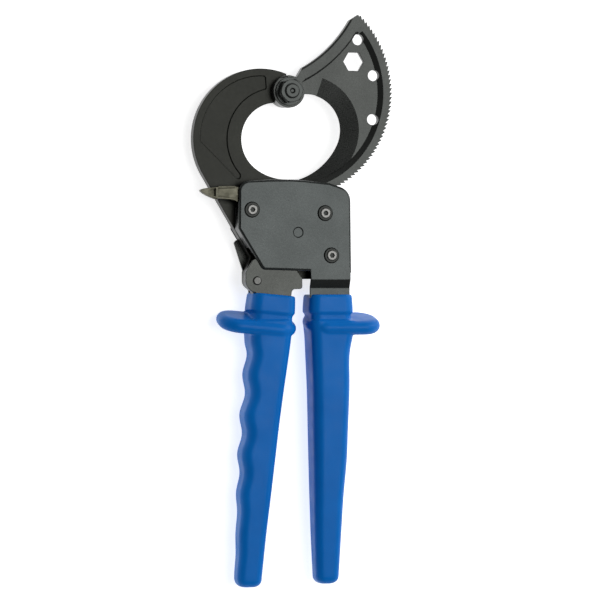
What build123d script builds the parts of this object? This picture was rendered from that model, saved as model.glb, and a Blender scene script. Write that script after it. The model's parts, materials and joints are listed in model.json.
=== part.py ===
from build123d import *
from math import atan2, cos, degrees, hypot, radians, sin, sqrt
import os

# Ratchet cable cutter, millimetres, lying on its back. +X is to the right, +Y runs from the
# handles to the jaw, +Z is up. The origin is on the blade's pivot axis, in the plane of the
# pivot bolt head, the face that the tool rests on.

# Layers, measured from the rest plane
SHEAR_Z = 13.5            # plane between the fixed jaw and the moving blade
SLIDE_GAP = 0.05          # from the shear plane to each of the two
JAW_THICKNESS = 6.0
BLADE_THICKNESS = 5.0
WEB_THICKNESS = 2.8       # the blade's recessed middle
COVER_SHEET = 1.5
COVER_FACE_Z = SHEAR_Z + 8.95
REAR_FACE_Z = SHEAR_Z - 9.95
LEVER_SHEET = 2.0
LEVER_FRONT_Z = SHEAR_Z + 5.25
LEVER_REAR_Z = SHEAR_Z - 8.25
JAW_Z = SHEAR_Z - SLIDE_GAP - JAW_THICKNESS
JAW_TOP_Z = SHEAR_Z - SLIDE_GAP
BLADE_Z = SHEAR_Z + SLIDE_GAP
BLADE_TOP_Z = BLADE_Z + BLADE_THICKNESS
COVER_INNER_Z = COVER_FACE_Z - COVER_SHEET
REAR_INNER_Z = REAR_FACE_Z + COVER_SHEET
RUNNING = 0.05            # radial clearance of everything that turns on a pin

# Moving blade: a sickle with ratchet teeth round the blade pivot
TOOTH_TIP_R = 58.5
TOOTH_DEPTH = 1.3
TEETH_PER_TURN = 150
TOOTH_PITCH = 360 / TEETH_PER_TURN
TOOTH_COUNT = 69
TAIL_ANGLE = -117.2
BLADE_EYE_R = 8.8
EDGE_CENTRE = (10.9, -20.4)
EDGE_R = 19.3
TAIL_EDGE_R = 36.8
EDGE_TURN_ANGLE = -26.6   # where the tight cutting arc runs into the wide one
BACK_R = 70.8
BACK_ANGLE = 109.6
BACK_RIM = 7.0
TOOTH_RIM_R = 53.4
RIM_FOOT_R = 51.0         # the tooth rim's inner wall slopes down to this radius on the web
BEVEL_WIDTH = 10.0
EDGE_LAND = 0.3
HOLE_R = 3.0
BLADE_HOLES = [(39.6, 29.0), (48.4, 9.6), (47.9, -14.4)]
HEX_CENTRE = (37.2, 17.0)
HEX_FLATS = 10.0

# Fixed jaw
JAW_CENTRE = (-13.9, -25.8)
JAW_R = 38.3
THROAT_CENTRE = (-5.3, -25.9)
THROAT_R = 20.0
LOWER_THROAT_R = 28.0
THROAT_TURN_ANGLE = -126.9
JAW_EYE_R = 8.4
PANEL_OUTER_R = 34.3      # crescent-shaped recess in the jaw's face
PANEL_INNER_R = 28.0
PANEL_DEPTH = 0.8

# Pivot hardware of the blade
BOLT_R = 4.0
PIVOT_WASHER_R = 7.6
PIVOT_NUT_FLATS = 12.0
BOLT_HEAD_R = 7.0

# Moving handle
LEVER_PIVOT = (-18.5, -102.6)
LEVER_PIN_R = 2.0
LEVER_SHOULDER = (7.0, -107.0)    # corners of the lever plates on the side of the other handle
LEVER_HOLLOW = (1.2, -107.2)
DRIVE_PIN = (4.1, -76.4)
DRIVE_PIN_R = 2.0
DRIVE_TOOTH = 7           # the tooth gap, counted from the tail, that this pawl drops into
DRIVE_HOVER = 2.7         # degrees that the pawl is drawn back from its gap

# Housing
SCREW_POINTS = [(-21.8, -64.3), (19.2, -65.9), (22.8, -88.8)]
SCREW_R = 2.0
SCREW_FLANGE_R = 4.4
SCREW_BOSS_R = 2.8
SCREW_HEAD = 1.6
SLEEVE_R = 3.0
HOLDING_PIVOT = SCREW_POINTS[0]
HOLDING_TOOTH = 1
HOLDING_HOVER = 6.5
TOOTH_SEAT = 1.3          # degrees from a tooth's steep flank to the pawl tip on its sloping back
TOOTH_SEAT_R = 58.08
PAWL_THICKNESS = 3.15
PAWL_Z = BLADE_Z + 0.2
RELEASE_Z = SHEAR_Z + 5.4
RELEASE_SHEET = 1.5
TAB_HEIGHT = 3.7          # depth of the channel-shaped thumb tab
PIN_FIT_R = SLEEVE_R + RUNNING
LEG_LEFT = 11.3
REAR_LEG_LEFT = 17.0
LEG_RIGHT = 33.8
LEG_TOP_Y = -95.3         # where each leg leaves its cover
JOGGLE = 2.0              # how far each cover steps inward before it enters the grip
JOGGLE_START_Y = -102.0
JOGGLE_END_Y = -106.4
LEG_END_Y = -150.0

RIVET_R = 2.0
LEVER_RIVETS = [(-9.5, -128.0), (-11.0, -142.0)]
FRAME_RIVETS = [(22.5, -128.0), (22.5, -142.0)]

# Grips
GRIP_MID_Z = SHEAR_Z - 0.5
GRIP_TOP_Y = -110.0
GRIP_CORNER_R = 5.5
COLLAR_LENGTH = 19.5
GUARD_MID_Y = -125.8
GUARD_TILT = 14           # degrees that the front of each finger guard leans down the grip
GUARD_THICKNESS = 7.8
GUARD_EDGE_R = 3.8
GUARD_CORNER_R = 11.0
# distance down the grip, middle, width, thickness
LEFT_SECTIONS = [
    (-127.5, -10.1, 24.4, 22.9),
    (-154.0, -12.7, 22.5, 21.5),
    (-197.0, -16.9, 19.9, 19.0),
    (-240.0, -20.2, 15.6, 16.0),
    (-268.6, -22.6, 12.6, 14.0),
]
RIGHT_SECTIONS = [
    (-129.0, 24.0, 24.6, 23.5),
    (-151.0, 23.5, 21.6, 21.5),
    (-200.0, 23.2, 19.2, 18.5),
    (-240.0, 22.5, 15.8, 15.8),
    (-267.6, 22.4, 12.4, 13.8),
]
LEFT_GUARD = (-38.8, 4.8)        # ends of the finger guard
RIGHT_GUARD = (10.0, 52.2)
LEFT_COLLAR_X = -8.5
RIGHT_COLLAR_X = 23.4
LEFT_LEAN = -5.3                 # degrees that the left collar and guard are turned
FINGER_PITCH = 21.7
FINGER_GROOVES = 4
GROOVE_R = 16.0
FIRST_GROOVE = (-37.6, -142.0)   # centre of the first groove's circle
GROOVE_DRIFT = -1.5              # sideways shift from one groove to the next


def on_circle(centre, radius, angle):
    """Point at an angle, in degrees, on a circle."""
    return (centre[0] + radius * cos(radians(angle)), centre[1] + radius * sin(radians(angle)))


def along(point, angle, distance):
    """Point a distance away from another one, in a direction given in degrees."""
    return on_circle(point, distance, angle)


def level(z):
    """Horizontal sketch plane at a height."""
    return Plane.XY.offset(z)


TAIL_EDGE_CENTRE = along(EDGE_CENTRE, EDGE_TURN_ANGLE + 180, TAIL_EDGE_R - EDGE_R)
BACK_CENTRE = on_circle((0, 0), BACK_R + BLADE_EYE_R, BACK_ANGLE)
LOWER_THROAT_CENTRE = along(THROAT_CENTRE, THROAT_TURN_ANGLE + 180, LOWER_THROAT_R - THROAT_R)


def bevel(centre, inner_r, start, turn, low_z, high_z, width):
    """Conical cutter for a ground edge: a triangle turned round an arc's centre."""
    profile_plane = Plane(
        origin=(centre[0], centre[1], 0),
        x_dir=(cos(radians(start)), sin(radians(start)), 0),
        z_dir=(sin(radians(start)), -cos(radians(start)), 0),
    )
    with BuildPart() as cutter:
        with BuildSketch(profile_plane):
            Polygon(
                (inner_r - 1, low_z),
                (inner_r, low_z),
                (inner_r + width, high_z),
                (inner_r - 1, high_z),
            )
        revolve(axis=Axis((centre[0], centre[1], 0), (0, 0, 1)), revolution_arc=turn)
    return cutter.part


def pawl_outline(pivot, tooth, eye_r, waist):
    """Points of a pawl whose tip sits on the back of one tooth, relative to its pivot."""
    angle = TAIL_ANGLE + tooth * TOOTH_PITCH + TOOTH_SEAT
    tip = on_circle((0, 0), TOOTH_SEAT_R, angle)
    face = on_circle((0, 0), TOOTH_TIP_R + 1.1, angle - 0.5)
    slope = on_circle((0, 0), TOOTH_TIP_R + 0.5, angle + 1.0)
    reach = hypot(tip[0] - pivot[0], tip[1] - pivot[1])
    lean = degrees(atan2(tip[1] - pivot[1], tip[0] - pivot[0]))
    shoulder = along(on_circle(pivot, 0.45 * reach, lean + 15), lean + 90, waist)
    heel = along(on_circle(pivot, 0.45 * reach, lean - 15), lean - 90, waist)
    roots = [on_circle(pivot, eye_r, lean + 90), on_circle(pivot, eye_r, lean - 90)]
    points = [tip, face, shoulder, *roots, heel, slope]
    return [(x - pivot[0], y - pivot[1]) for x, y in points]


def torsion_spring(centre, coil_r, wire_r, z, turns, first_leg, leg_lengths):
    """Coil of wire round a pin with two straight legs. first_leg is the first one's direction."""
    start = on_circle((0, 0), coil_r, first_leg - 90)
    with BuildPart() as spring:
        height = 2.4 * wire_r * turns
        frame = Plane(origin=(centre[0], centre[1], z), x_dir=(start[0], start[1], 0), z_dir=(0, 0, 1))
        with BuildLine(frame) as path:
            coil = Helix(pitch=2.4 * wire_r, height=height, radius=coil_r)
        with BuildSketch(Plane(origin=coil @ 0, z_dir=coil % 0)):
            Circle(wire_r)
        sweep(path=path.wires()[0], is_frenet=True)
        with BuildSketch(Plane(origin=coil @ 0, z_dir=coil % 0)):
            Circle(wire_r)
        extrude(amount=-leg_lengths[0])
        with BuildSketch(Plane(origin=coil @ 1, z_dir=coil % 1)):
            Circle(wire_r)
        extrude(amount=leg_lengths[1])
    return spring.part


def pin_group(points, radius, z, height, bore=0.0):
    """Equal upright cylinders, one at each point, with a hole through if bore is given."""
    with BuildPart() as pins:
        with BuildSketch(level(z)):
            with Locations(*points):
                Circle(radius)
                if bore:
                    Circle(bore, mode=Mode.SUBTRACT)
        extrude(amount=height)
    return pins.part


def jaw_outline():
    """Filled outline of the fixed jaw, its plate in the housing, its lever eye and its leg."""
    with BuildSketch() as outline:
        with Locations(JAW_CENTRE):
            Circle(JAW_R)
        Circle(JAW_EYE_R)
        shoulder = on_circle(JAW_CENTRE, JAW_R, 210.9)
        with BuildLine():
            Polyline(
                shoulder,
                (-26.6, -79.2),
                (-20.5, -89.8),
                (LEVER_PIVOT[0] - 4.6, LEVER_PIVOT[1] + 4.0),
                (LEVER_PIVOT[0] - 5.0, LEVER_PIVOT[1]),
                (LEVER_PIVOT[0], LEVER_PIVOT[1] - 5.0),
                (LEVER_PIVOT[0] + 8.0, -101.6),
                (15.5, -101.6),
                (15.5, -150.0),
                (30.0, -150.0),
                (31.0, -112.0),
                (31.8, -60.0),
                (30.0, -55.0),
                (19.0, -50.2),
                (0.0, -47.5),
                (-12.0, -30.0),
                (-35.0, -30.0),
                close=True,
            )
        make_face()
        with Locations(LEVER_PIVOT):
            Circle(5.0)
        with Locations(THROAT_CENTRE):
            Circle(THROAT_R, mode=Mode.SUBTRACT)
        lowest = on_circle(LOWER_THROAT_CENTRE, LOWER_THROAT_R, -90)
        with BuildLine():
            CenterArc(LOWER_THROAT_CENTRE, LOWER_THROAT_R, THROAT_TURN_ANGLE, -THROAT_TURN_ANGLE - 90)
            Polyline(
                lowest,
                (60.0, lowest[1]),
                (60.0, 30.0),
                (0.0, 30.0),
                (0.0, LOWER_THROAT_CENTRE[1]),
                on_circle(LOWER_THROAT_CENTRE, LOWER_THROAT_R, THROAT_TURN_ANGLE),
            )
        make_face(mode=Mode.SUBTRACT)
        Circle(JAW_EYE_R)
    return outline.sketch


def finish(part, name):
    """Label a finished piece and write its STEP file."""
    part.label = name
    export_step(part, f"parts/{name}.step")


os.makedirs("parts", exist_ok=True)

# Fixed jaw: jaw, housing plate and the leg inside the right grip are one forging
with BuildPart() as fixed_jaw:
    with BuildSketch(level(JAW_Z)):
        add(jaw_outline())
        Circle(BOLT_R, mode=Mode.SUBTRACT)
        with Locations(*SCREW_POINTS):
            Circle(SCREW_R + RUNNING, mode=Mode.SUBTRACT)
        with Locations(LEVER_PIVOT):
            Circle(LEVER_PIN_R + RUNNING, mode=Mode.SUBTRACT)
        with Locations(*FRAME_RIVETS):
            Circle(RIVET_R, mode=Mode.SUBTRACT)
    extrude(amount=JAW_THICKNESS)
    with BuildSketch(level(JAW_TOP_Z)) as panel:
        with Locations(JAW_CENTRE):
            Circle(PANEL_OUTER_R)
        with Locations(THROAT_CENTRE):
            Circle(PANEL_INNER_R, mode=Mode.SUBTRACT)
        Polygon(
            (-12.0, 10.0),
            (-11.0, -2.0),
            (-25.0, -25.0),
            (-26.0, -49.0),
            (-49.3, -26.3),
            (-60.0, 10.0),
            mode=Mode.INTERSECT,
        )
        fillet(panel.vertices(), 1.2)
    extrude(amount=-PANEL_DEPTH, mode=Mode.SUBTRACT)
    add(
        bevel(THROAT_CENTRE, THROAT_R, 110, 123, JAW_TOP_Z - 1.2, JAW_Z, 4.5),
        mode=Mode.SUBTRACT,
    )
finish(fixed_jaw.part, "fixed_jaw")

# Moving blade
with BuildSketch() as blade_shape:
    Circle(TOOTH_TIP_R)
    Polygon(
        (0.0, 0.0),
        on_circle((0, 0), 100, 60),
        on_circle((0, 0), 140, 0),
        on_circle((0, 0), 140, -65),
        on_circle((0, 0), 100, TAIL_ANGLE),
        (-15.0, -30.0),
        (4.0, -12.0),
        mode=Mode.INTERSECT,
    )
    with Locations(EDGE_CENTRE):
        Circle(EDGE_R, mode=Mode.SUBTRACT)
    with Locations(BACK_CENTRE):
        Circle(BACK_R, mode=Mode.SUBTRACT)
    with BuildLine():
        CenterArc(TAIL_EDGE_CENTRE, TAIL_EDGE_R, EDGE_TURN_ANGLE - 180, 180)
        Line(
            on_circle(TAIL_EDGE_CENTRE, TAIL_EDGE_R, EDGE_TURN_ANGLE),
            on_circle(TAIL_EDGE_CENTRE, TAIL_EDGE_R, EDGE_TURN_ANGLE - 180),
        )
    make_face(mode=Mode.SUBTRACT)
    Polygon((34.2, 39.3), (42.0, 44.3), (40.0, 60.0), (20.0, 60.0), mode=Mode.SUBTRACT)
    # the tail narrows so that it stays under the covers
    Polygon((-12.0, -49.3), (-30.0, -50.2), (-30.0, -40.0), (-12.0, -40.0), mode=Mode.SUBTRACT)
    Circle(BLADE_EYE_R)
    Circle(BOLT_R + RUNNING, mode=Mode.SUBTRACT)
    with Locations(*BLADE_HOLES):
        Circle(HOLE_R, mode=Mode.SUBTRACT)
    with Locations(HEX_CENTRE):
        RegularPolygon(HEX_FLATS / sqrt(3), 6, mode=Mode.SUBTRACT)
    with PolarLocations(
        TOOTH_TIP_R - TOOTH_DEPTH,
        TOOTH_COUNT,
        start_angle=TAIL_ANGLE,
        angular_range=TOOTH_PITCH * TOOTH_COUNT,
    ):
        Polygon(
            (0.0, 0.0),
            (TOOTH_DEPTH + 0.5, 0.0),
            (TOOTH_DEPTH + 0.5, 2.45),
            (TOOTH_DEPTH - 0.05, 2.2),
            mode=Mode.SUBTRACT,
        )
with BuildSketch() as blade_middle:
    Circle(RIM_FOOT_R)
    with Locations(BACK_CENTRE):
        Circle(BACK_R + BACK_RIM, mode=Mode.SUBTRACT)
    Circle(BLADE_EYE_R, mode=Mode.SUBTRACT)

GRIND_LOW_Z = BLADE_Z + EDGE_LAND
WEB_Z = BLADE_Z + WEB_THICKNESS
upper_bevel = bevel(EDGE_CENTRE, EDGE_R, EDGE_TURN_ANGLE, 100, GRIND_LOW_Z, WEB_Z, BEVEL_WIDTH)
lower_bevel = bevel(
    TAIL_EDGE_CENTRE, TAIL_EDGE_R, EDGE_TURN_ANGLE - 60, 60, GRIND_LOW_Z, WEB_Z, BEVEL_WIDTH
)
rim_wall = bevel(
    (0.0, 0.0), RIM_FOOT_R, TAIL_ANGLE - 2, 158, WEB_Z, BLADE_TOP_Z, TOOTH_RIM_R - RIM_FOOT_R
)

with BuildPart() as moving_blade:
    with BuildSketch(level(BLADE_Z)):
        add(blade_shape.sketch)
    extrude(amount=WEB_THICKNESS)
    add(upper_bevel, mode=Mode.SUBTRACT)
    add(lower_bevel, mode=Mode.SUBTRACT)
    with BuildSketch(level(BLADE_Z)):
        add(blade_shape.sketch)
        add(blade_middle.sketch, mode=Mode.SUBTRACT)
    extrude(amount=BLADE_THICKNESS)
    add(rim_wall, mode=Mode.SUBTRACT)
finish(moving_blade.part, "moving_blade")

# Pivot hardware
with BuildPart() as pivot_bolt:
    with BuildSketch(level(0.0)):
        Circle(BOLT_HEAD_R)
    extrude(amount=JAW_Z - 1.3)
    chamfer(pivot_bolt.edges().group_by(Axis.Z)[0], 0.6)
    with BuildSketch(level(JAW_Z - 1.3)):
        Circle(BOLT_R)
    extrude(amount=BLADE_TOP_Z + 7.4 - JAW_Z + 1.3)
    chamfer(pivot_bolt.edges().group_by(Axis.Z)[-1], 0.5)
    with BuildSketch(level(BLADE_TOP_Z + 7.4)):
        Circle(1.4)
    extrude(amount=-0.7, taper=35, mode=Mode.SUBTRACT)
finish(pivot_bolt.part, "pivot_bolt")

finish(pin_group([(0, 0)], 8.2, JAW_Z - 1.3, 1.3, BOLT_R + RUNNING), "pivot_rear_washer")
finish(
    pin_group([(0, 0)], PIVOT_WASHER_R, BLADE_TOP_Z + 0.1, 1.2, BOLT_R + RUNNING),
    "pivot_front_washer",
)

with BuildPart() as pivot_nut:
    with BuildSketch(level(BLADE_TOP_Z + 1.3)):
        RegularPolygon(PIVOT_NUT_FLATS / sqrt(3), 6, rotation=12)
        Circle(BOLT_R, mode=Mode.SUBTRACT)
    extrude(amount=5.0)
    with BuildSketch(Plane.XZ) as nut_profile:
        Polygon(
            (PIVOT_NUT_FLATS / 2 - 0.3, BLADE_TOP_Z + 6.3),
            (PIVOT_NUT_FLATS / 2 + 2.0, BLADE_TOP_Z + 6.3),
            (PIVOT_NUT_FLATS / 2 + 2.0, BLADE_TOP_Z + 5.0),
        )
    revolve(axis=Axis.Z, mode=Mode.SUBTRACT)
finish(pivot_nut.part, "pivot_nut")


def cover_outline(inset=0.0):
    """Outline of the housing covers, without their legs."""
    with BuildSketch() as outline:
        with BuildLine():
            Polyline(
                (-29.0, -49.0),
                (-12.0, -48.0),
                (0.0, -47.8),
                (8.0, -48.2),
                (22.0, -49.6),
                (33.8, -53.4),
                (34.3, -98.0),
                (-15.5, -96.6),
                (-29.2, -74.6),
                close=True,
            )
        make_face()
        corners = outline.vertices()
        fillet(corners.sort_by_distance((-29.0, -49.0))[0], 6.0)
        fillet(outline.vertices().sort_by_distance((33.8, -53.4))[0], 8.0)
        fillet(outline.vertices().sort_by_distance((-15.5, -96.6))[0], 3.0)
        if inset:
            offset(amount=-inset)
    return outline.sketch


def leg_sides():
    """Slivers cut from both sides of a cover leg, which narrows inside the grip."""
    Polygon((LEG_LEFT, -112.0), (LEG_LEFT, -151.0), (15.5, -151.0), (13.0, -112.0))
    Polygon((LEG_RIGHT, -112.0), (LEG_RIGHT, -151.0), (30.0, -151.0), (31.8, -112.0))


def leg_profile(face_z, inward):
    """Side view of a cover leg: flat sheet with a rounded inward step. inward is +1 or -1 in Z."""
    sheet = inward * COVER_SHEET
    step = inward * JOGGLE
    with BuildSketch() as profile:
        Polygon(
            (LEG_TOP_Y, face_z + sheet),
            (LEG_TOP_Y, face_z),
            (JOGGLE_START_Y, face_z),
            (JOGGLE_END_Y, face_z + step),
            (LEG_END_Y, face_z + step),
            (LEG_END_Y, face_z + step + sheet),
            (JOGGLE_END_Y + 0.4, face_z + step + sheet),
            (JOGGLE_START_Y + 0.4, face_z + sheet),
        )
        bends = profile.vertices()
        fillet(bends.sort_by_distance((JOGGLE_START_Y, face_z))[0], 2.0)
        bends = profile.vertices()
        fillet(bends.sort_by_distance((JOGGLE_END_Y, face_z + step))[0], 2.0)
    return profile.sketch


with BuildPart() as front_cover:
    with BuildSketch(level(SHEAR_Z + 5.5)):
        add(cover_outline())
    extrude(amount=COVER_FACE_Z - SHEAR_Z - 5.5)
    fillet(front_cover.edges().group_by(Axis.Z)[-1], 1.4)
    with BuildSketch(level(SHEAR_Z + 5.5)):
        add(cover_outline(COVER_SHEET))
    extrude(amount=COVER_INNER_Z - SHEAR_Z - 5.5, mode=Mode.SUBTRACT)
    # deep side walls that stand on the jaw plate
    with BuildSketch(level(SHEAR_Z)) as walls:
        add(cover_outline())
        add(cover_outline(COVER_SHEET), mode=Mode.SUBTRACT)
        with Locations((0.0, -50.0)):
            Rectangle(80.0, 25.0, mode=Mode.SUBTRACT)
        with Locations((0.0, -96.0)):
            Rectangle(60.0, 22.0, mode=Mode.SUBTRACT)
    extrude(amount=5.6)
    # openings for the levers at the bottom and for the release lever at the left
    with BuildSketch(level(SHEAR_Z)):
        with Locations((-5.0, -96.0)):
            Rectangle(31.5, 22.0)
        with Locations((-26.0, -55.5)):
            Rectangle(14.0, 15.0)
    extrude(amount=COVER_INNER_Z - SHEAR_Z, mode=Mode.SUBTRACT)
    with BuildSketch(Plane.YZ.offset(LEG_LEFT)):
        add(leg_profile(COVER_FACE_Z, -1))
    extrude(amount=LEG_RIGHT - LEG_LEFT)
    with BuildSketch(level(COVER_INNER_Z - JOGGLE)):
        with Locations(*SCREW_POINTS):
            Circle(SCREW_R + RUNNING)
        with Locations(*FRAME_RIVETS):
            Circle(RIVET_R)
        leg_sides()
    extrude(amount=COVER_SHEET + JOGGLE, mode=Mode.SUBTRACT)
    with BuildSketch(level(COVER_FACE_Z)):
        with Locations(DRIVE_PIN):
            Circle(2.7)
    extrude(amount=-0.4, mode=Mode.SUBTRACT)
finish(front_cover.part, "front_cover")

with BuildPart() as rear_cover:
    with BuildSketch(level(REAR_FACE_Z)):
        add(cover_outline())
    extrude(amount=JAW_Z - REAR_FACE_Z)
    fillet(rear_cover.edges().group_by(Axis.Z)[0], 1.4)
    with BuildSketch(level(REAR_INNER_Z)):
        add(cover_outline(COVER_SHEET))
        with Locations((-5.0, -90.0)):
            Rectangle(60.0, 34.0)
    extrude(amount=JAW_Z - REAR_INNER_Z, mode=Mode.SUBTRACT)
    with BuildSketch(Plane.YZ.offset(REAR_LEG_LEFT)):
        add(leg_profile(REAR_FACE_Z, 1))
    extrude(amount=LEG_RIGHT - REAR_LEG_LEFT)
    with BuildSketch(level(REAR_FACE_Z)):
        with Locations(*SCREW_POINTS):
            Circle(SCREW_R + RUNNING)
        with Locations(*FRAME_RIVETS):
            Circle(RIVET_R)
        leg_sides()
    extrude(amount=COVER_SHEET + JOGGLE, mode=Mode.SUBTRACT)
finish(rear_cover.part, "rear_cover")

with BuildPart() as cover_screws:
    with BuildSketch(level(REAR_FACE_Z - 1.8)):
        with Locations(*SCREW_POINTS):
            Circle(SCREW_R)
    extrude(amount=COVER_FACE_Z - REAR_FACE_Z + 1.8)
    with BuildSketch(level(COVER_FACE_Z)):
        with Locations(*SCREW_POINTS):
            Circle(SCREW_FLANGE_R)
    extrude(amount=0.9, taper=30)
    with BuildSketch(level(COVER_FACE_Z)):
        with Locations(*SCREW_POINTS):
            Circle(SCREW_BOSS_R)
    extrude(amount=SCREW_HEAD)
    fillet(cover_screws.edges().group_by(Axis.Z)[-1], 0.5)
    with BuildSketch(level(COVER_FACE_Z + SCREW_HEAD)):
        with Locations(*SCREW_POINTS):
            RegularPolygon(1.4, 6)
    extrude(amount=-1.3, mode=Mode.SUBTRACT)
finish(cover_screws.part, "cover_screws")

with BuildPart() as cover_nuts:
    with BuildSketch(level(REAR_FACE_Z - 2.4)):
        with Locations(*SCREW_POINTS):
            RegularPolygon(7.0 / sqrt(3), 6)
            Circle(SCREW_R, mode=Mode.SUBTRACT)
    extrude(amount=2.4)
finish(cover_nuts.part, "cover_nuts")

finish(
    pin_group(SCREW_POINTS, SLEEVE_R, JAW_TOP_Z, COVER_INNER_Z - JAW_TOP_Z, SCREW_R + RUNNING),
    "front_sleeves",
)
finish(
    pin_group(SCREW_POINTS, SLEEVE_R, REAR_INNER_Z, JAW_Z - REAR_INNER_Z, SCREW_R + RUNNING),
    "rear_sleeves",
)


def make_pawl(pivot, tooth, eye_r, bore_r, waist, hover):
    """Flat pawl, drawn engaged and then turned back by its hover angle."""
    points = pawl_outline(pivot, tooth, eye_r, waist)
    lift = Plane(origin=(pivot[0], pivot[1], PAWL_Z), x_dir=(cos(radians(hover)), sin(radians(hover)), 0))
    with BuildPart() as pawl:
        with BuildSketch(lift):
            Polygon(*points)
            Circle(eye_r)
            Circle(bore_r, mode=Mode.SUBTRACT)
        extrude(amount=PAWL_THICKNESS)
    return pawl.part


finish(make_pawl(HOLDING_PIVOT, HOLDING_TOOTH, 4.8, PIN_FIT_R, 1.2, HOLDING_HOVER), "holding_pawl")
finish(
    make_pawl(DRIVE_PIN, DRIVE_TOOTH, 4.6, DRIVE_PIN_R + RUNNING, 2.2, DRIVE_HOVER),
    "drive_pawl",
)

# Release lever: plate on the left sleeve with a channel-shaped thumb tab outside the housing
with BuildPart() as release_lever:
    with BuildSketch(level(RELEASE_Z)):
        with BuildLine():
            Polyline(
                (-41.4, -51.9),
                (-33.0, -51.4),
                (-24.0, -53.0),
                (-18.0, -60.0),
                (-18.0, -66.0),
                (-25.5, -66.0),
                (-28.0, -61.6),
                (-30.8, -59.5),
                (-34.0, -58.9),
                (-41.4, -58.4),
                close=True,
            )
        make_face()
        with Locations(HOLDING_PIVOT):
            Circle(5.2)
            Circle(PIN_FIT_R, mode=Mode.SUBTRACT)
    extrude(amount=RELEASE_SHEET)
    with BuildSketch(level(RELEASE_Z)):
        with BuildLine():
            Line((-31.0, -51.6), (-41.4, -51.9))
            Spline((-41.4, -51.9), (-48.6, -53.2), (-50.4, -54.2), (-49.2, -55.6), (-41.4, -58.4))
            Polyline((-41.4, -58.4), (-34.0, -58.9), (-31.0, -59.4), (-31.0, -51.6))
        make_face()
    extrude(amount=TAB_HEIGHT)
    with BuildSketch(level(RELEASE_Z + RELEASE_SHEET)):
        Polygon((-45.6, -54.0), (-42.1, -53.1), (-42.1, -57.2), (-45.6, -56.0))
        Polygon((-40.7, -52.9), (-30.0, -52.5), (-30.0, -58.3), (-34.0, -57.9), (-40.7, -57.4))
    extrude(amount=TAB_HEIGHT, mode=Mode.SUBTRACT)
finish(release_lever.part, "release_lever")


def lever_outline(eye_r, ear):
    """Outline of a lever plate: pin eye, drive arm or ear, right shoulder and tang."""
    with BuildSketch() as outline:
        with BuildLine():
            Polyline(
                (-18.5, -150.0),
                (-4.5, -150.0),
                (-0.2, -118.0),
                LEVER_HOLLOW,
                LEVER_SHOULDER,
                (6.9, -101.3),
                (4.2, -97.8),
                (2.0, -88.0),
                (-14.0, -88.0),
                (-21.0, -91.5),
                (LEVER_PIVOT[0] - eye_r, -98.0),
                (LEVER_PIVOT[0] - eye_r, LEVER_PIVOT[1]),
                (-19.5, -108.0),
                close=True,
            )
        make_face()
        fillet(outline.vertices().sort_by_distance(LEVER_SHOULDER)[0], 1.5)
        fillet(outline.vertices().sort_by_distance(LEVER_HOLLOW)[0], 2.0)
        with Locations(LEVER_PIVOT):
            Circle(eye_r)
        if ear:
            with BuildLine():
                Polyline(
                    (-26.6, -80.5),
                    (-18.5, -80.5),
                    (-12.0, -90.0),
                    (-15.0, -99.0),
                    (-22.7, -97.5),
                    (-27.8, -82.0),
                    close=True,
                )
            make_face()
        else:
            with BuildLine():
                Polyline(
                    along(DRIVE_PIN, 140, 5.2),
                    (-14.5, -90.0),
                    (2.0, -90.0),
                    along(DRIVE_PIN, -35, 5.2),
                    close=True,
                )
            make_face()
            with Locations(DRIVE_PIN):
                Circle(5.2)
        with Locations(LEVER_PIVOT):
            Circle(LEVER_PIN_R, mode=Mode.SUBTRACT)
    return outline.sketch


with BuildPart() as lever_front_plate:
    with BuildSketch(level(LEVER_FRONT_Z)):
        add(lever_outline(6.4, False))
        with Locations(DRIVE_PIN):
            Circle(DRIVE_PIN_R, mode=Mode.SUBTRACT)
        with Locations(*LEVER_RIVETS):
            Circle(RIVET_R, mode=Mode.SUBTRACT)
    extrude(amount=LEVER_SHEET)
finish(lever_front_plate.part, "lever_front_plate")

with BuildPart() as lever_rear_plate:
    with BuildSketch(level(LEVER_REAR_Z)):
        add(lever_outline(4.6, True))
        with Locations(*LEVER_RIVETS):
            Circle(RIVET_R, mode=Mode.SUBTRACT)
    extrude(amount=LEVER_SHEET)
finish(lever_rear_plate.part, "lever_rear_plate")

# Lever core: fills the space between the plates, thin round the pin and thick in the grip
with BuildPart() as lever_core:
    with BuildSketch(level(SHEAR_Z + 0.15)):
        with Locations(LEVER_PIVOT):
            Circle(6.0)
        Polygon(
            (LEVER_PIVOT[0] - 3.0, -106.0),
            (-12.5, -104.0),
            (0.5, -106.0),
            (0.0, -110.0),
            (-0.5, -115.0),
            (-18.5, -115.0),
        )
        with Locations(LEVER_PIVOT):
            Circle(LEVER_PIN_R, mode=Mode.SUBTRACT)
    extrude(amount=LEVER_FRONT_Z - SHEAR_Z - 0.15)
    with BuildSketch(level(LEVER_REAR_Z + LEVER_SHEET)):
        Polygon((-18.5, -111.5), (0.0, -111.5), (-15.5, -252.0), (-24.5, -252.0))
        with Locations(*LEVER_RIVETS):
            Circle(RIVET_R, mode=Mode.SUBTRACT)
    extrude(amount=LEVER_FRONT_Z - LEVER_REAR_Z - LEVER_SHEET)
finish(lever_core.part, "lever_core")

with BuildPart() as lever_pivot_pin:
    with BuildSketch(level(LEVER_REAR_Z - 0.1)):
        with Locations(LEVER_PIVOT):
            Circle(LEVER_PIN_R)
    extrude(amount=LEVER_FRONT_Z + LEVER_SHEET - LEVER_REAR_Z + 0.1)
    with BuildSketch(level(LEVER_FRONT_Z + LEVER_SHEET)):
        with Locations(LEVER_PIVOT):
            Circle(LEVER_PIN_R + 0.4)
    extrude(amount=0.9)
    fillet(lever_pivot_pin.edges().group_by(Axis.Z)[-1], 0.7)
finish(lever_pivot_pin.part, "lever_pivot_pin")

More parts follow.
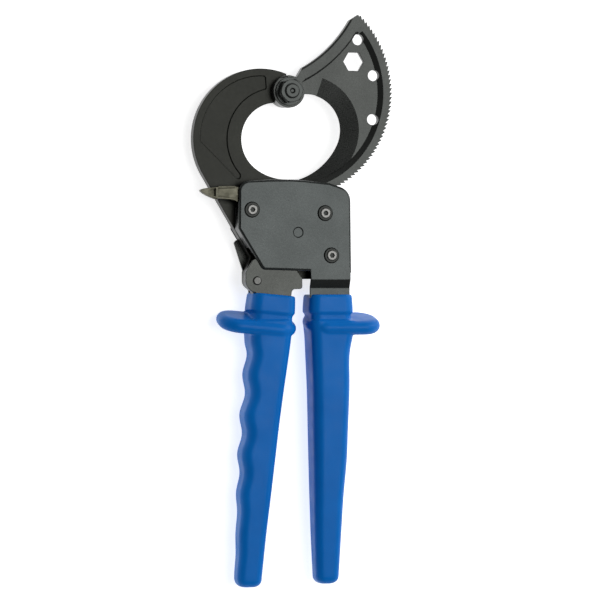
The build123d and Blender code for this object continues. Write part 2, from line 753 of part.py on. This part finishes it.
lever_rivets = pin_group(LEVER_RIVETS, RIVET_R, LEVER_REAR_Z, LEVER_FRONT_Z + LEVER_SHEET - LEVER_REAR_Z)
finish(lever_rivets, "lever_rivets")
finish(
    pin_group([DRIVE_PIN], DRIVE_PIN_R, PAWL_Z, LEVER_FRONT_Z + LEVER_SHEET - PAWL_Z),
    "drive_pawl_pin",
)

# Springs: the pawls' springs lie on them, the handle's spring lies on the jaw plate
PAWL_SPRING_Z = PAWL_Z + PAWL_THICKNESS + 0.4
holding_pawl_spring = torsion_spring(HOLDING_PIVOT, 3.9, 0.3, PAWL_SPRING_Z, 1.25, 250, (6.0, 6.0))
finish(holding_pawl_spring, "holding_pawl_spring")
drive_pawl_spring = torsion_spring(DRIVE_PIN, 2.9, 0.3, PAWL_SPRING_Z, 1.25, 250, (6.0, 6.0))
finish(drive_pawl_spring, "drive_pawl_spring")
handle_return_spring = torsion_spring(
    SCREW_POINTS[2], 4.0, 0.5, SHEAR_Z + 0.8, 3.0, 60, (8.0, 12.0)
)
finish(handle_return_spring, "handle_return_spring")

# Right handle: core between the two cover legs, riveted through
with BuildPart() as frame_core:
    with BuildSketch(level(JAW_TOP_Z)):
        Polygon((14.3, -103.5), (31.0, -103.5), (27.0, -252.0), (18.0, -252.0))
        with Locations(*FRAME_RIVETS):
            Circle(RIVET_R, mode=Mode.SUBTRACT)
    extrude(amount=COVER_INNER_Z - JOGGLE - JAW_TOP_Z)
finish(frame_core.part, "frame_core")

frame_rivets = pin_group(
    FRAME_RIVETS, RIVET_R, REAR_FACE_Z + JOGGLE, COVER_FACE_Z - REAR_FACE_Z - 2 * JOGGLE
)
finish(frame_rivets, "frame_rivets")


def finger_guard(ends, lean):
    """Round-edged plate across a grip. It tilts forward, and leans with the grip."""
    tilt = radians(GUARD_TILT)
    turn = radians(lean)
    depth = 2 * ((GRIP_MID_Z - GUARD_EDGE_R) / cos(tilt) + GUARD_EDGE_R)
    down = Vector(sin(turn) * cos(tilt), -cos(turn) * cos(tilt), -sin(tilt))
    middle = Vector((ends[0] + ends[1]) / 2, GUARD_MID_Y, GRIP_MID_Z)
    top = Plane(
        origin=middle - down * GUARD_THICKNESS / 2, x_dir=(cos(turn), sin(turn), 0), z_dir=down
    )
    with BuildPart() as guard:
        with BuildSketch(top):
            RectangleRounded(ends[1] - ends[0], depth, GUARD_CORNER_R)
        extrude(amount=GUARD_THICKNESS)
        rims = guard.faces().filter_by(GeomType.PLANE).sort_by(SortBy.AREA)[-2:]
        fillet(rims.edges(), GUARD_EDGE_R)
    return guard.part


def grip(sections, guard_plate, collar_x, lean, groove_count, cores):
    """Moulded grip: tapering rounded bar, collar, finger guard, finger grooves and a socket."""
    turn = radians(lean)
    collar = Plane(
        origin=(collar_x, GRIP_TOP_Y, GRIP_MID_Z),
        x_dir=(cos(turn), sin(turn), 0),
        z_dir=(sin(turn), -cos(turn), 0),
    )
    with BuildPart() as body:
        for y, x, width, thickness in sections:
            with BuildSketch(Plane(origin=(x, y, GRIP_MID_Z), x_dir=(1, 0, 0), z_dir=(0, -1, 0))):
                RectangleRounded(width, thickness, GRIP_CORNER_R)
        loft()
        fillet(body.faces().sort_by(Axis.Y)[0].edges(), 4.0)
        with BuildSketch(collar):
            RectangleRounded(24.0, 21.5, GRIP_CORNER_R)
        with BuildSketch(collar.offset(COLLAR_LENGTH)):
            RectangleRounded(25.2, 23.6, GRIP_CORNER_R)
        loft()
        add(guard_plate)
        for number in range(groove_count):
            x = FIRST_GROOVE[0] + number * GROOVE_DRIFT
            y = FIRST_GROOVE[1] - number * FINGER_PITCH
            with BuildSketch(level(0.0)):
                with Locations((x, y)):
                    Circle(GROOVE_R)
            extrude(amount=2 * GRIP_MID_Z, mode=Mode.SUBTRACT)
        for core in cores:
            add(core, mode=Mode.SUBTRACT)
    return body.part


LEFT_INSERTS = [lever_core.part, lever_front_plate.part, lever_rear_plate.part, lever_rivets]
RIGHT_INSERTS = [frame_core.part, front_cover.part, rear_cover.part, fixed_jaw.part, frame_rivets]
left_guard = finger_guard(LEFT_GUARD, LEFT_LEAN)
right_guard = finger_guard(RIGHT_GUARD, 0.0)
finish(
    grip(LEFT_SECTIONS, left_guard, LEFT_COLLAR_X, LEFT_LEAN, FINGER_GROOVES, LEFT_INSERTS),
    "left_grip",
)
finish(grip(RIGHT_SECTIONS, right_guard, RIGHT_COLLAR_X, 0.0, 0, RIGHT_INSERTS), "right_grip")
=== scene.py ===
import json
import math

import bmesh
import bpy
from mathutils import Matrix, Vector
from mathutils.bvhtree import BVHTree


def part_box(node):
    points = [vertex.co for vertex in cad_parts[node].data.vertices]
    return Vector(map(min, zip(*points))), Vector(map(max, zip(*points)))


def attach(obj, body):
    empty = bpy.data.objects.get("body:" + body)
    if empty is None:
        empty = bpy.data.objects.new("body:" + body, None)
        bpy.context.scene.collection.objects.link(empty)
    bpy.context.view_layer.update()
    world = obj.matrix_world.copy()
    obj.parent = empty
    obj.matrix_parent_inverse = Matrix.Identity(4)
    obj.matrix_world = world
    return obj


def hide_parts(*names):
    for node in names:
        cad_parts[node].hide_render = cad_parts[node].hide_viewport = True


# Ratchet cable cutter, lying on its back. Metres, in the frame of the CAD model: the origin is
# on the blade's pivot axis in the rest plane, +X right, +Y from the grips to the jaw, +Z up.

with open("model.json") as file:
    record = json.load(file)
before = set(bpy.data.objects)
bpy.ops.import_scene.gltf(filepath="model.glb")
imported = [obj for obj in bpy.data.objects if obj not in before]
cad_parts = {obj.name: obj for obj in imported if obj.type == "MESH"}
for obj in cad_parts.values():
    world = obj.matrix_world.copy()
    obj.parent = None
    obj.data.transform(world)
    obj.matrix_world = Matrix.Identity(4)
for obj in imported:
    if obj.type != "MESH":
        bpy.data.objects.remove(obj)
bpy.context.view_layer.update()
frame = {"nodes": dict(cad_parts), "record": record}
nodes = frame["nodes"]
record = frame["record"]
node_body = {name: body for body, names in record["behaviour"]["bodies"].items() for name in names}
node_slot = {row["node"]: row["material_slot"] for row in record["subparts"]}

MM = 0.001


# ---------------------------------------------------------------- shader helpers

def new_material(name):
    """New material, with its node tree and its Principled shader."""
    material = bpy.data.materials.new(name)
    material.use_nodes = True
    return material, material.node_tree, material.node_tree.nodes["Principled BSDF"]


def fill(tree, node, **values):
    """Set inputs of a node, named with _ for a space, to a value or to another node's output."""
    for name, value in values.items():
        socket = node.inputs[name.replace("_", " ")]
        if isinstance(value, bpy.types.NodeSocket):
            tree.links.new(value, socket)
        else:
            socket.default_value = value


def noise(tree, coords, scale, detail=3.0):
    """Factor output of a noise texture."""
    node = tree.nodes.new("ShaderNodeTexNoise")
    fill(tree, node, Vector=coords, Scale=scale, Detail=detail, Roughness=0.55)
    return node.outputs["Fac"]


def stretch(tree, value, low, high, to_low=0.0, to_high=1.0):
    """Value mapped from one range to another, clamped."""
    node = tree.nodes.new("ShaderNodeMapRange")
    fill(tree, node, Value=value, From_Min=low, From_Max=high, To_Min=to_low, To_Max=to_high)
    return node.outputs["Result"]


def multiplied(tree, first, second):
    """Product of two outputs."""
    node = tree.nodes.new("ShaderNodeMath")
    node.operation = "MULTIPLY"
    tree.links.new(first, node.inputs[0])
    tree.links.new(second, node.inputs[1])
    return node.outputs[0]


def mix(tree, factor, first, second):
    """Mix of two colours, each an RGB tuple or an output, by a factor output."""
    node = tree.nodes.new("ShaderNodeMix")
    node.data_type = "RGBA"
    tree.links.new(factor, node.inputs["Factor"])
    for socket, colour in ((node.inputs[6], first), (node.inputs[7], second)):
        if isinstance(colour, tuple):
            socket.default_value = (*colour, 1.0)
        else:
            tree.links.new(colour, socket)
    return node.outputs[2]


def clouded(tree, coords, scale, detail, first, second):
    """Colour that drifts between two others in soft clouds."""
    return mix(tree, stretch(tree, noise(tree, coords, scale, detail), 0.35, 0.65), first, second)


def bump(tree, height, strength, distance):
    """Bump normal from a height output."""
    node = tree.nodes.new("ShaderNodeBump")
    fill(tree, node, Height=height, Strength=strength, Distance=distance)
    return node.outputs["Normal"]


def object_space(tree, scale=(1.0, 1.0, 1.0)):
    """Object coordinates, scaled along each axis."""
    coordinates = tree.nodes.new("ShaderNodeTexCoord")
    mapping = tree.nodes.new("ShaderNodeMapping")
    fill(tree, mapping, Vector=coordinates.outputs["Object"], Scale=scale)
    return mapping.outputs["Vector"]


def split(tree, vector):
    """Outputs X, Y and Z of a vector."""
    node = tree.nodes.new("ShaderNodeSeparateXYZ")
    fill(tree, node, Vector=vector)
    return node.outputs


# ---------------------------------------------------------------- materials

def dark_steel(name, base, rubbed_and_highlit, rough, highlight_above=None):
    """Blackened or phosphated steel: cloudy tone, fine grain, rounded edges lightened as rubbed metal and as
    a painted highlight.

    The optional pair is a height in millimetres and the colour painted on what stands over it, a painted
    highlight.
    """
    material, tree, shader = new_material(name)
    coords = object_space(tree)
    grain = noise(tree, coords, 900.0)
    dark = tuple(c * 0.92 for c in base)
    light = tuple(c * 1.08 for c in base)
    colour = clouded(tree, coords, 60.0, 4.0, dark, light)
    if highlight_above:
        level, highlight_colour = highlight_above
        # what stands over the level is painted in the lighter colour, a painted highlight on the raised top
        above = stretch(tree, split(tree, coords)["Z"], (level - 0.05) * MM, (level + 0.05) * MM)
        colour = mix(tree, above, colour, highlight_colour)
    edge = tree.nodes.new("ShaderNodeAttribute")
    edge.attribute_name = "edge"
    speck = stretch(tree, noise(tree, coords, 2200.0, 2.0), 0.35, 0.6, 0.1, 0.5)
    # the rounds are lightened in specks, partly as rubbed metal and partly as a painted highlight of light
    # caught on the edges
    rub_and_highlight = multiplied(tree, edge.outputs["Fac"], speck)
    fill(
        tree, shader, Metallic=0.8, Specular_IOR_Level=0.3,
        Base_Color=mix(tree, rub_and_highlight, colour, rubbed_and_highlit),
        Roughness=stretch(tree, grain, 0.3, 0.7, rough - 0.03, rough + 0.04),
        Normal=bump(tree, grain, 0.05, 0.01 * MM),
    )
    return material


def bright_steel(name, base, rough):
    """Bare turned steel with fine scratches."""
    material, tree, shader = new_material(name)
    scratch = noise(tree, object_space(tree, (1.0, 1.0, 12.0)), 1500.0, 2.0)
    fill(
        tree, shader, Metallic=1.0,
        Base_Color=clouded(tree, object_space(tree), 300.0, 3.0, tuple(c * 0.7 for c in base), base),
        Roughness=stretch(tree, scratch, 0.3, 0.7, rough - 0.05, rough + 0.12),
        Normal=bump(tree, scratch, 0.2, 0.01 * MM),
    )
    return material


def chromated(name, dark, light):
    """Olive-yellow chromated zinc: cloudy tone and fine grain."""
    material, tree, shader = new_material(name)
    coords = object_space(tree)
    grain = noise(tree, coords, 1800.0, 2.0)
    fill(
        tree, shader, Metallic=0.7,
        Base_Color=clouded(tree, coords, 220.0, 4.0, dark, light),
        Roughness=stretch(tree, grain, 0.3, 0.7, 0.3, 0.48),
        Normal=bump(tree, grain, 0.2, 0.015 * MM),
    )
    return material


def moulded_plastic(name, dark, light):
    """Satin moulded plastic: faint flow marks, micro texture and rubbed patches."""
    material, tree, shader = new_material(name)
    coords = object_space(tree)
    patch = noise(tree, coords, 120.0, 4.0)
    fill(
        tree, shader, Specular_IOR_Level=0.1,
        Base_Color=clouded(tree, coords, 25.0, 3.0, dark, light),
        Roughness=stretch(tree, patch, 0.35, 0.65, 0.3, 0.42),
        Normal=bump(tree, noise(tree, coords, 1400.0, 2.0), 0.15, 0.02 * MM),
    )
    return material


# colour of the flat faces, colour of the rounded edges (rubbed metal and a painted highlight), roughness
DARK_STEELS = {
    "jaw_steel": ((0.012, 0.0125, 0.0105), (0.08, 0.08, 0.075), 0.33),
    "blade_steel": ((0.032, 0.034, 0.032), (0.12, 0.12, 0.115), 0.28),
    "cover_steel": ((0.036, 0.040, 0.039), (0.12, 0.12, 0.115), 0.28),
    "lever_steel": ((0.037, 0.039, 0.036), (0.12, 0.12, 0.115), 0.28),
    "hardware_black": ((0.034, 0.037, 0.035), (0.16, 0.16, 0.155), 0.24),
}
SCREW_TOP_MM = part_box("cover_screws")[1].z / MM
SCREW_HIGHLIGHT_DEPTH_MM = 0.45                 # depth below the highest point of a screw's head from which its top is painted lighter, a painted highlight

SLOT_MATERIALS = {slot: dark_steel(slot, *look) for slot, look in DARK_STEELS.items()}
# the top of each screw's head is painted much lighter than the rest, a painted highlight
SLOT_MATERIALS["screw_steel"] = dark_steel(
    "screw_steel", (0.012, 0.013, 0.012), (0.08, 0.08, 0.08), 0.2,
    highlight_above=(SCREW_TOP_MM - SCREW_HIGHLIGHT_DEPTH_MM, (0.11, 0.11, 0.105)),
)
SLOT_MATERIALS["bright_steel"] = bright_steel("bright_steel", (0.075, 0.076, 0.073), 0.22)
SLOT_MATERIALS["spring_steel"] = bright_steel("spring_steel", (0.16, 0.165, 0.165), 0.3)
SLOT_MATERIALS["yellow_zinc"] = chromated("yellow_zinc", (0.040, 0.038, 0.024), (0.090, 0.087, 0.062))
SLOT_MATERIALS["blue_grip"] = moulded_plastic("blue_grip", (0.0005, 0.125, 0.46), (0.0015, 0.145, 0.52))


# ---------------------------------------------------------------- pieces

def link(name, data):
    """New object in the scene for a mesh, light or camera."""
    thing = bpy.data.objects.new(name, data)
    bpy.context.scene.collection.objects.link(thing)
    return thing


def mesh_of(work, name):
    """Mesh made from an editable one, which is freed."""
    mesh = bpy.data.meshes.new(name)
    work.to_mesh(mesh)
    work.free()
    return mesh


def apply_modifiers(thing):
    """Turn a piece's modifiers into its mesh."""
    depsgraph = bpy.context.evaluated_depsgraph_get()
    mesh = bpy.data.meshes.new_from_object(thing.evaluated_get(depsgraph))
    thing.modifiers.clear()
    thing.data = mesh


def paint(thing, node):
    """Give an object the material of a CAD node's slot."""
    thing.data.materials.clear()
    thing.data.materials.append(SLOT_MATERIALS[node_slot[node]])


def stand_in(piece, node):
    """Let a visible piece take the place of a CAD node, on the same body and in the same slot."""
    paint(piece, node)
    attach(piece, node_body[node])
    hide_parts(node)


# ---------------------------------------------------------------- eased metal pieces

EASE_ANGLE = math.radians(30.0)       # edges that turn more than this are rounded
CHAMFER_ANGLE = math.radians(60.0)    # edges on an arc that turn more than this are chamfered

# width of the round on each piece's edges
EASED_MM = {
    "fixed_jaw": 0.35,
    "front_cover": 0.4,
    "rear_cover": 0.4,
    "release_lever": 0.25,
    "lever_front_plate": 0.35,
    "lever_rear_plate": 0.35,
    "pivot_nut": 0.25,
    "pivot_bolt": 0.25,
    "pivot_front_washer": 0.3,
    "pivot_rear_washer": 0.3,
    "lever_pivot_pin": 0.2,
    "cover_screws": 0.12,
    "cover_nuts": 0.2,
}

# the rib along the blade's back lies between two arcs about one centre
BLADE_BACK_CENTRE = (-26.7, 75.0)
BLADE_BACK_R = 70.8
BLADE_RIB = 7.0
BLADE_TOP_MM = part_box("moving_blade")[1].z / MM
TEETH_FREE_MM = 55.0                  # inside the rim that carries the teeth


def merged(node):
    """CAD node as an editable mesh with its triangles merged back into flat faces."""
    work = bmesh.new()
    work.from_mesh(nodes[node].data)
    bmesh.ops.remove_doubles(work, verts=work.verts, dist=0.001 * MM)
    bmesh.ops.dissolve_limit(
        work, angle_limit=math.radians(0.5), verts=work.verts, edges=work.edges
    )
    return work


def bevelled(work, edges, width_mm, segments):
    """Bevel edges of a mesh, and return the new faces."""
    return bmesh.ops.bevel(
        work, geom=edges, offset=width_mm * MM, offset_type="OFFSET", segments=segments, profile=0.5,
        affect="EDGES", clamp_overlap=False,
    )["faces"]


def on_arc(edge, centre, radius_mm, height_mm):
    """True for an edge that lies on an arc about a centre, given in millimetres."""
    return all(
        abs((vert.co.xy - Vector(centre) * MM).length - radius_mm * MM) < 0.3 * MM
        and abs(vert.co.z - height_mm * MM) < 0.1 * MM
        for vert in edge.verts
    )


def eased(node, width_mm, within_mm=math.inf, crease=40.0, arcs=(), chamfer_mm=0.0):
    """Visible piece for a CAD node: the same shape with its edges broken by a small round.

    Edges farther than within_mm from the origin in plan stay sharp, and edges on the arcs get a
    chamfer first. Edges of the finished piece sharper than crease degrees shade as creases. The
    rounds carry the value 1 in the face attribute "edge", which the steel materials lighten as
    rubbed metal and as a painted highlight.
    """
    work = merged(node)
    chamfered = [
        edge for edge in work.edges
        if edge.calc_face_angle(0.0) > CHAMFER_ANGLE and any(on_arc(edge, *arc) for arc in arcs)
    ]
    bevelled(work, chamfered, chamfer_mm, 1)
    surface = BVHTree.FromBMesh(work)
    edges = [
        edge for edge in work.edges
        if edge.is_manifold
        and edge.calc_face_angle() > EASE_ANGLE
        and min(vert.co.xy.length for vert in edge.verts) < within_mm * MM
    ]
    rounds = bevelled(work, edges, width_mm, 2)
    # where bevels cross in a narrow place a corner can shoot out, so it goes back to the surface
    for vert in work.verts:
        nearest, _, _, distance = surface.find_nearest(vert.co)
        if distance > 0.5 * width_mm * MM:
            vert.co = nearest
    # the rounds are marked for the steel materials, which lighten them as rubbed metal and as a painted
    # highlight
    rub_and_highlight = work.faces.layers.float.new("edge")
    for face in rounds:
        if face.is_valid:
            face[rub_and_highlight] = 1.0
    mesh = mesh_of(work, f"{node}_eased")
    # the CAD mesh's own normals no longer fit its faces
    if "custom_normal" in mesh.attributes:
        mesh.attributes.remove(mesh.attributes["custom_normal"])
    mesh.shade_smooth()
    mesh.set_sharp_from_angle(angle=math.radians(crease))
    piece = link(f"{node}_eased", mesh)
    piece.modifiers.new("normals", "WEIGHTED_NORMAL").keep_sharp = True
    apply_modifiers(piece)
    stand_in(piece, node)


# ---------------------------------------------------------------- moulded grips

GUARD_Y = -125.8
GUARD_TILT = 14.0                     # degrees that the front of each finger guard leans down the grip
GUARD_THICKNESS = 7.8
GUARD_EDGE_R = GUARD_THICKNESS / 2 - 0.05
GUARD_CORNER_R = 11.0
GUARD_RINGS = 12
BAR_RINGS = 170
DOME = 4.2                            # how far the rounded end stands out past the last section
DOME_RINGS = 9
FINGER_PITCH = 21.7
LAST_BUMP_Y = -240.0
BUMP_HEIGHT = 1.05

# Y, left side, right side, half depth and corner radius of the bars, millimetres
LEFT_TABLE = [
    (-124.0, -23.3, 1.4, 11.8, 5.5),
    (-133.0, -21.9, 0.9, 11.6, 5.5),
    (-143.0, -21.7, -0.3, 11.2, 5.5),
    (-160.0, -22.6, -2.7, 10.7, 5.5),
    (-180.0, -24.4, -5.3, 10.1, 5.5),
    (-200.0, -25.6, -7.6, 9.5, 5.3),
    (-220.0, -26.7, -9.9, 8.8, 5.0),
    (-240.0, -27.4, -12.3, 8.0, 4.6),
    (-264.3, -28.4, -14.7, 6.9, 4.2),
]
RIGHT_TABLE = [
    (-124.0, 11.2, 37.3, 11.8, 5.5),
    (-133.0, 12.1, 35.6, 11.6, 5.5),
    (-143.0, 12.5, 34.0, 11.3, 5.5),
    (-160.0, 13.2, 34.1, 10.9, 5.5),
    (-183.0, 13.6, 33.4, 10.3, 5.5),
    (-200.0, 13.9, 32.8, 9.8, 5.3),
    (-220.0, 14.3, 31.1, 9.0, 5.0),
    (-240.0, 14.8, 30.0, 8.0, 4.6),
    (-263.3, 15.7, 28.8, 6.8, 4.2),
]
# Y, width, depth and corner radius of the collars, from the top lip down to inside the guard
COLLAR_TABLE = [
    (-110.0, 22.6, 20.4, 5.0),
    (-110.4, 23.6, 21.3, 5.4),
    (-111.2, 24.1, 21.7, 5.6),
    (-117.5, 24.9, 22.6, 5.8),
    (-119.6, 24.9, 22.7, 5.8),
    (-120.8, 22.6, 21.0, 5.0),
    (-128.0, 22.6, 21.0, 5.0),
]


def smooth_step(value, low, high):
    """0 below low, 1 above high, and a smooth ramp between."""
    share = min(1.0, max(0.0, (value - low) / (high - low)))
    return share * share * (3.0 - 2.0 * share)


def finger_wave(y):
    """How far the finger bumps stand out: full size near the guard, dying out down the grip."""
    size = BUMP_HEIGHT * (1.0 - smooth_step(-y, 190.0, 245.0) * 0.8)
    start = smooth_step(-y, 132.0, 142.0)
    return size * start * math.cos(2.0 * math.pi * (y - LAST_BUMP_Y) / FINGER_PITCH)


def no_wave(y):
    """A plain side."""
    return 0.0


def along_table(rows, y):
    """Values of a table at a Y, by a smooth curve through its rows. The Y of the rows falls."""
    last = len(rows) - 1
    index = next((i for i in range(last - 1) if y >= rows[i + 1][0]), last - 1)
    start, end = rows[index], rows[index + 1]
    before, after = rows[max(0, index - 1)], rows[min(last, index + 2)]
    span = end[0] - start[0]
    t = (y - start[0]) / span
    values = []
    for column in range(1, len(start)):
        slope_in = (end[column] - before[column]) / (end[0] - before[0]) * span
        slope_out = (after[column] - start[column]) / (after[0] - start[0]) * span
        values.append(
            start[column] * (2 * t**3 - 3 * t**2 + 1)
            + slope_in * (t**3 - 2 * t**2 + t)
            + end[column] * (3 * t**2 - 2 * t**3)
            + slope_out * (t**3 - t**2)
        )
    return values


def rounded_ring(left, right, half_depth, corner, per_corner=10, per_side=8):
    """Points of a rounded rectangle in X and Z, millimetres, about Z = 0."""
    corner = min(corner, 0.49 * (right - left), 0.98 * half_depth)
    centres = [
        (right - corner, half_depth - corner),
        (left + corner, half_depth - corner),
        (left + corner, corner - half_depth),
        (right - corner, corner - half_depth),
    ]
    arcs = []
    for number, (x, z) in enumerate(centres):
        angles = [math.radians(90.0 * (number + step / per_corner)) for step in range(per_corner + 1)]
        arcs.append([(x + corner * math.cos(a), z + corner * math.sin(a)) for a in angles])
    points = []
    for arc, next_arc in zip(arcs, arcs[1:] + arcs[:1]):
        points += arc
        (x, z), (end_x, end_z) = arc[-1], next_arc[0]
        for step in range(1, per_side):
            share = step / per_side
            points.append((x + (end_x - x) * share, z + (end_z - z) * share))
    return points


def turned(x, y, about, angle):
    """Point turned about another in the XY plane, degrees."""
    c, s = math.cos(math.radians(angle)), math.sin(math.radians(angle))
    dx, dy = x - about[0], y - about[1]
    return about[0] + c * dx - s * dy, about[1] + s * dx + c * dy


def tube(work, rings, middle_z):
    """Closed skin over rings of points, in millimetres with Z counted from middle_z."""
    loops = [
        [work.verts.new((x * MM, y * MM, (z + middle_z) * MM)) for x, y, z in ring] for ring in rings
    ]
    count = len(loops[0])
    for first, second in zip(loops, loops[1:]):
        for i in range(count):
            work.faces.new((first[i], first[(i + 1) % count], second[(i + 1) % count], second[i]))
    work.faces.new(loops[0])
    work.faces.new(reversed(loops[-1]))


def grip_bar(table, wave):
    """Rings of the tapering bar with a domed end. wave gives how far its left side stands out."""
    top, bottom = table[0][0], table[-1][0]
    rings = []
    for step in range(BAR_RINGS + 1):
        y = top + (bottom - top) * step / BAR_RINGS
        left, right, half_depth, corner = along_table(table, y)
        rings.append([(x, y, z) for x, z in rounded_ring(left - wave(y), right, half_depth, corner)])
    left, right, half_depth, corner = table[-1][1:]
    for step in range(1, DOME_RINGS + 1):
        angle = math.radians(90.0 * step / (DOME_RINGS + 0.3))
        inset = DOME * (1.0 - math.cos(angle))
        y = bottom - DOME * math.sin(angle)
        ring = rounded_ring(left + inset, right - inset, half_depth - inset, max(corner - inset * 0.5, 1.5))
        rings.append([(x, y, z) for x, z in ring])
    return rings


def grip_collar(middle_x, lean):
    """Rings of the collar above the guard, leaning with the grip."""
    about = (middle_x, COLLAR_TABLE[0][0])
    rings = []
    for y, width, depth, corner in COLLAR_TABLE:
        outline = rounded_ring(middle_x - width / 2, middle_x + width / 2, depth / 2, corner)
        rings.append([(*turned(x, y, about, lean), z) for x, z in outline])
    return rings


def grip_guard(left, right, lean, middle_z):
    """Rings of the finger guard: a round-edged plate, tilted forward and leaning with the grip."""
    slope = math.radians(GUARD_TILT)
    # deep enough that its lower edge, tilted, comes down to Z = 0
    half_depth = (middle_z - GUARD_EDGE_R) / math.cos(slope) + GUARD_EDGE_R
    rings = []
    for step in range(GUARD_RINGS + 1):
        angle = math.radians(90.0 - 180.0 * step / GUARD_RINGS)
        inset = GUARD_EDGE_R * (1.0 - math.cos(angle))
        height = GUARD_THICKNESS / 2 * math.sin(angle)
        outline = rounded_ring(
            left + inset, right - inset, half_depth - inset, GUARD_CORNER_R - inset, 14, 10
        )
        ring = []
        for x, depth in outline:
            y = GUARD_Y + height * math.cos(slope) - depth * math.sin(slope)
            z = depth * math.cos(slope) + height * math.sin(slope)
            ring.append((*turned(x, y, ((left + right) / 2, GUARD_Y), lean), z))
        rings.append(ring)
    return rings


def moulded_grip(node, table, wave, collar_x, guard_ends, lean):
    """One moulded grip: bar, collar and guard melted into one skin with soft inner corners."""
    low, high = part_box(node)
    middle_z = (low.z + high.z) / 2 / MM
    work = bmesh.new()
    for rings in (
        grip_bar(table, wave),
        grip_collar(collar_x, lean),
        grip_guard(*guard_ends, lean, middle_z),
    ):
        tube(work, rings, middle_z)
    bmesh.ops.recalc_face_normals(work, faces=work.faces)
    piece = link(f"{node}_moulding", mesh_of(work, f"{node}_moulding"))
    melt = piece.modifiers.new("melt", "REMESH")
    melt.mode = "VOXEL"
    melt.voxel_size = 0.5 * MM
    soften = piece.modifiers.new("soften", "SMOOTH")
    soften.factor = 0.5
    soften.iterations = 7
    apply_modifiers(piece)
    piece.data.shade_smooth()
    stand_in(piece, node)


# ---------------------------------------------------------------- studio

VIEW_CENTRE = Vector((0.0076, -0.113, 0.0135))
VIEW_TILT = math.radians(16.0)        # the camera is this far to the left of straight above
VIEW_WIDTH = 326.264 * MM             # width of the picture at the tool
CAMERA_DISTANCE = 1.8
SENSOR_MM = 36.0
FLOOR_HALF = 3.0


def pale_floor():
    """Plain white floor in the rest plane, lit a little from within so that it stays pale."""
    corners = [(x * FLOOR_HALF, y * FLOOR_HALF, 0) for x, y in ((-1, -1), (1, -1), (1, 1), (-1, 1))]
    mesh = bpy.data.meshes.new("floor")
    mesh.from_pydata(corners, [], [(0, 1, 2, 3)])
    floor = link("floor", mesh)
    material, tree, shader = new_material("floor_white")
    fill(
        tree, shader, Base_Color=(0.9, 0.9, 0.9, 1.0), Roughness=0.9,
        Emission_Color=(1.0, 1.0, 1.0, 1.0), Emission_Strength=0.75,
    )
    floor.data.materials.append(material)


def soft_sky():
    """White surroundings, brightest near the horizon and dimmer on the left."""
    world = bpy.data.worlds.new("studio")
    bpy.context.scene.world = world
    world.use_nodes = True
    tree = world.node_tree
    direction = split(tree, tree.nodes.new("ShaderNodeTexCoord").outputs["Generated"])
    height = stretch(tree, direction["Z"], 0.25, 0.62, 0.8, 0.17)
    side = stretch(tree, direction["X"], -0.8, 0.3, 0.5, 1.0)
    fill(
        tree, tree.nodes["Background"], Color=(1.0, 1.0, 1.0, 1.0), Strength=multiplied(tree, height, side)
    )


def area_light(name, place, size, power):
    """Rectangular soft light that points at the tool."""
    data = bpy.data.lights.new(name, "AREA")
    data.shape = "RECTANGLE"
    data.size, data.size_y = size
    data.energy = power
    light = link(name, data)
    light.location = place
    light.rotation_euler = (VIEW_CENTRE - Vector(place)).to_track_quat("-Z", "Y").to_euler()


def camera():
    """Long lens above and to the left of the lying tool."""
    data = bpy.data.cameras.new("camera")
    data.sensor_width = SENSOR_MM
    data.lens = SENSOR_MM * CAMERA_DISTANCE / VIEW_WIDTH
    thing = link("camera", data)
    thing.location = VIEW_CENTRE + CAMERA_DISTANCE * Vector((-math.sin(VIEW_TILT), 0.0, math.cos(VIEW_TILT)))
    thing.rotation_euler = (0.0, -VIEW_TILT, 0.0)
    bpy.context.scene.camera = thing
    bpy.context.scene.view_settings.view_transform = "Standard"


# ---------------------------------------------------------------- the scene

for name, width in EASED_MM.items():
    eased(name, width)
# the blade's rim teeth and the border of its cutting bevel stay crisp; both sides of the rib
# along its back are chamfered
eased(
    "moving_blade", 0.2, TEETH_FREE_MM, 10.0, chamfer_mm=0.8,
    arcs=[(BLADE_BACK_CENTRE, r, BLADE_TOP_MM) for r in (BLADE_BACK_R, BLADE_BACK_R + BLADE_RIB)],
)
for name, thing in nodes.items():
    if name not in EASED_MM and name != "moving_blade":
        paint(thing, name)

moulded_grip("left_grip", LEFT_TABLE, finger_wave, -8.5, (-38.7, 4.7), -5.3)
moulded_grip("right_grip", RIGHT_TABLE, no_wave, 23.4, (10.1, 52.1), 0.0)

pale_floor()
soft_sky()
area_light("overhead", (0.5, 0.0, 1.45), (0.9, 1.1), 12.0)
area_light("right_fill", (1.4, 0.5, 0.6), (0.8, 0.8), 7.0)
camera()
